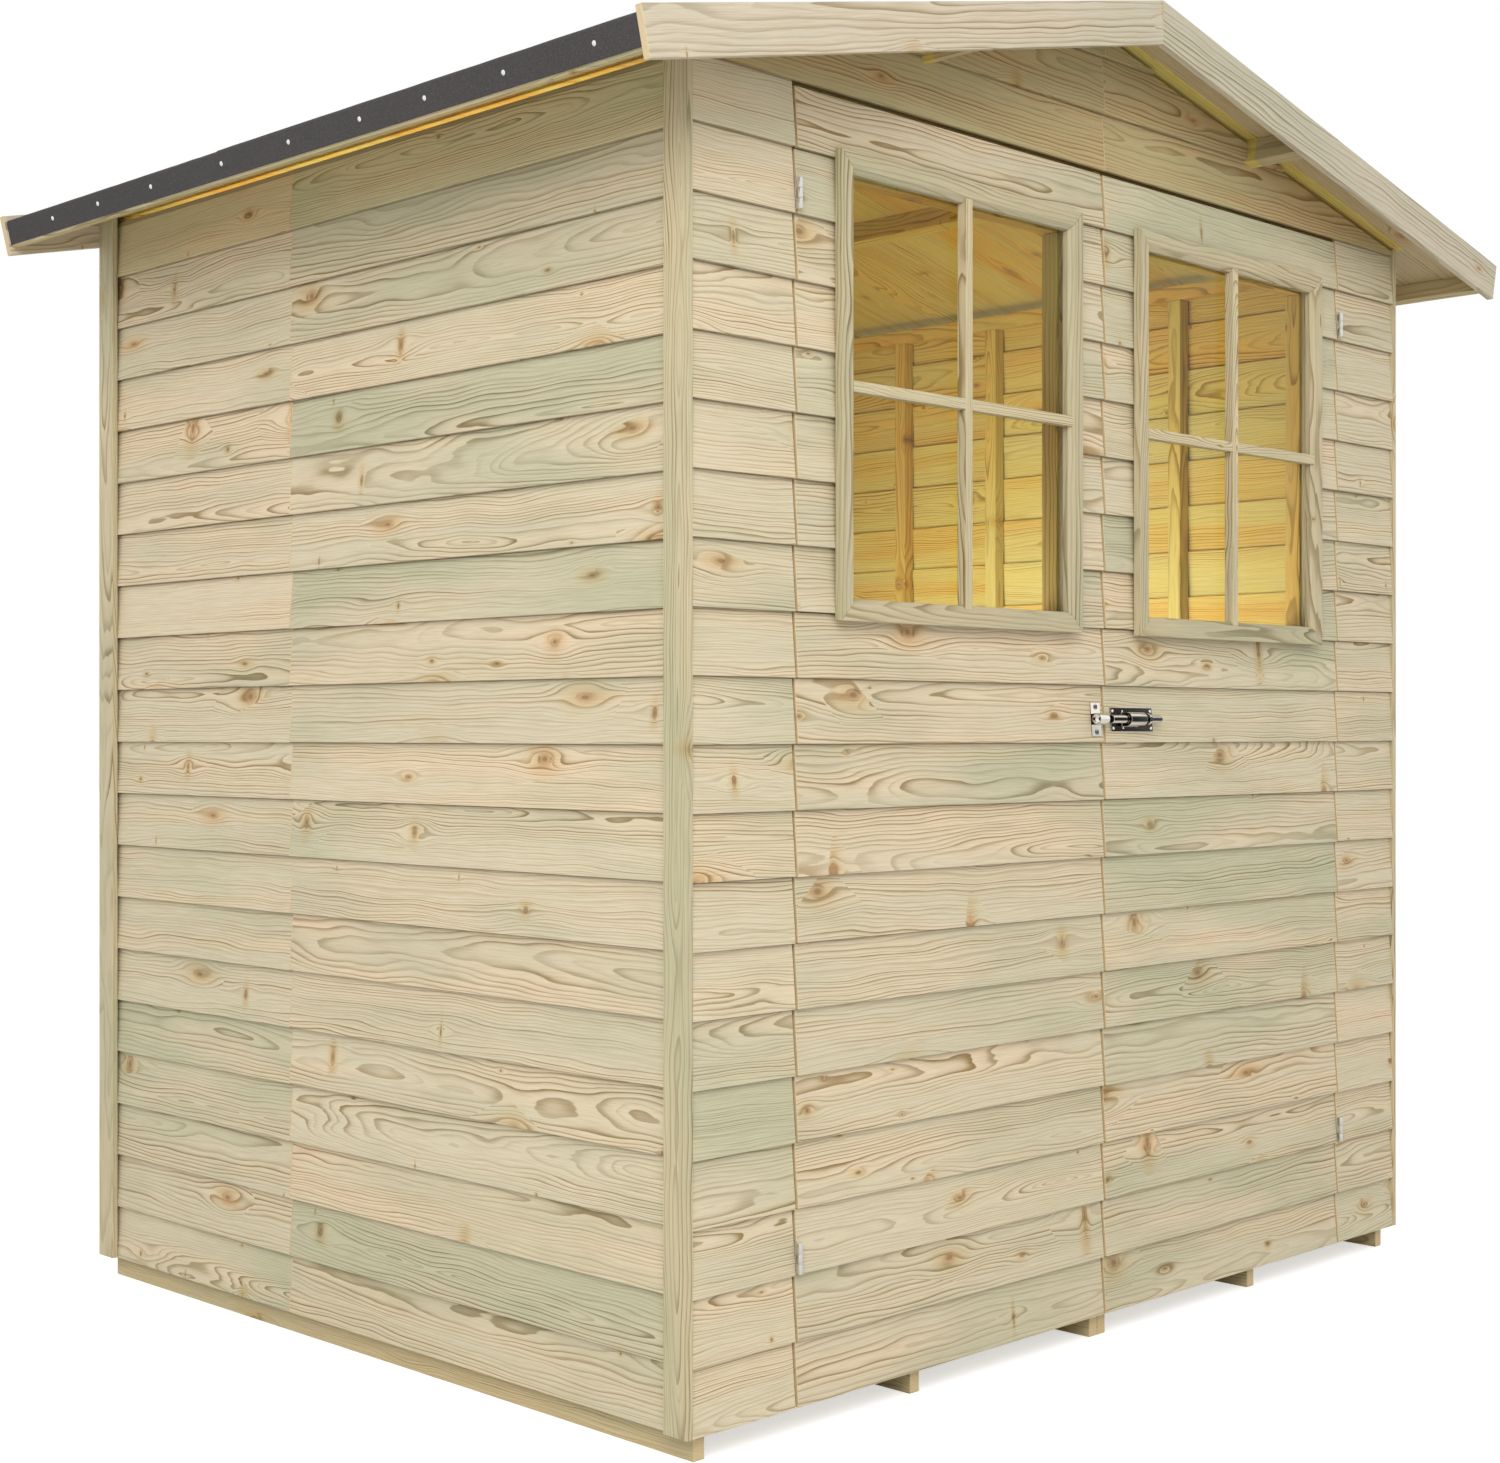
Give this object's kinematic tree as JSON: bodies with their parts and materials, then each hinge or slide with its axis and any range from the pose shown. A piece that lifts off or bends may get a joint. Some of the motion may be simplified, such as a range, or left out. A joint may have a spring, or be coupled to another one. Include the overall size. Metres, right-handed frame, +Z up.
{
  "type": "wooden garden shed",
  "caption": "Apex garden shed with overlapping pine boards, a felted pitched roof and hinged double doors with barred windows and a sliding bolt.",
  "frame": {"origin": "on the ground, under the centre of the roof's outline", "axes": "+Z up, the doors face -Y, +X to the right as seen from the front"},
  "size_m": [2.178, 1.617, 2.08],
  "materials": {
    "clad_pine": "rough-sawn pressure-treated pine, cream to pale green, with knots",
    "planed_pine": "planed pressure-treated pine, pale green",
    "barge_pine": "pale planed pine with open grain",
    "frame_pine": "untreated honey pine",
    "roofing_felt": "mineral-faced bitumen felt",
    "window_glass": "clear",
    "hinge_steel": "bright zinc",
    "bolt_steel": "polished"
  },
  "bodies": {
    "shell": {"floor_joists": "frame_pine", "floor_boards": "frame_pine", "left_wall_boards": "clad_pine", "left_wall_frame": "frame_pine", "right_wall_boards": "clad_pine", "right_wall_frame": "frame_pine", "back_wall_boards": "clad_pine", "back_wall_frame": "frame_pine", "front_left_boards": "clad_pine", "front_right_boards": "clad_pine", "front_gable_boards": "clad_pine", "front_frame": "frame_pine", "corner_strips": "planed_pine", "left_roof_boards": "frame_pine", "right_roof_boards": "frame_pine", "left_roof_felt": "roofing_felt", "right_roof_felt": "roofing_felt", "purlins": "frame_pine", "eave_battens": "frame_pine", "front_left_barge_board": "barge_pine", "front_right_barge_board": "barge_pine", "back_left_barge_board": "barge_pine", "back_right_barge_board": "barge_pine", "wall_hinge_leaves": "hinge_steel"},
    "left_door": {"left_door_boards": "clad_pine", "left_door_frame": "frame_pine", "left_window_frame": "planed_pine", "left_window_glass": "window_glass", "left_door_hinge_leaves": "hinge_steel", "bolt_keep": "bolt_steel"},
    "right_door": {"right_door_boards": "clad_pine", "right_door_frame": "frame_pine", "right_window_frame": "planed_pine", "right_window_glass": "window_glass", "right_door_hinge_leaves": "hinge_steel", "bolt_plate": "bolt_steel"},
    "bolt": {"bolt": "bolt_steel"}
  },
  "joints": [
    {"name": "left_door_hinge", "type": "hinge", "parent": "shell", "child": "left_door", "pos_m": [-0.703, -0.7045, 0.036], "axis": [0, 0, -1], "range_deg": [0, 110]},
    {"name": "right_door_hinge", "type": "hinge", "parent": "shell", "child": "right_door", "pos_m": [0.703, -0.7045, 0.036], "axis": [0, 0, 1], "range_deg": [0, 110]},
    {"name": "bolt_slide", "type": "slide", "parent": "right_door", "child": "bolt", "axis": [-1, 0, 0], "range_m": [0, 0.0275]}
  ]
}
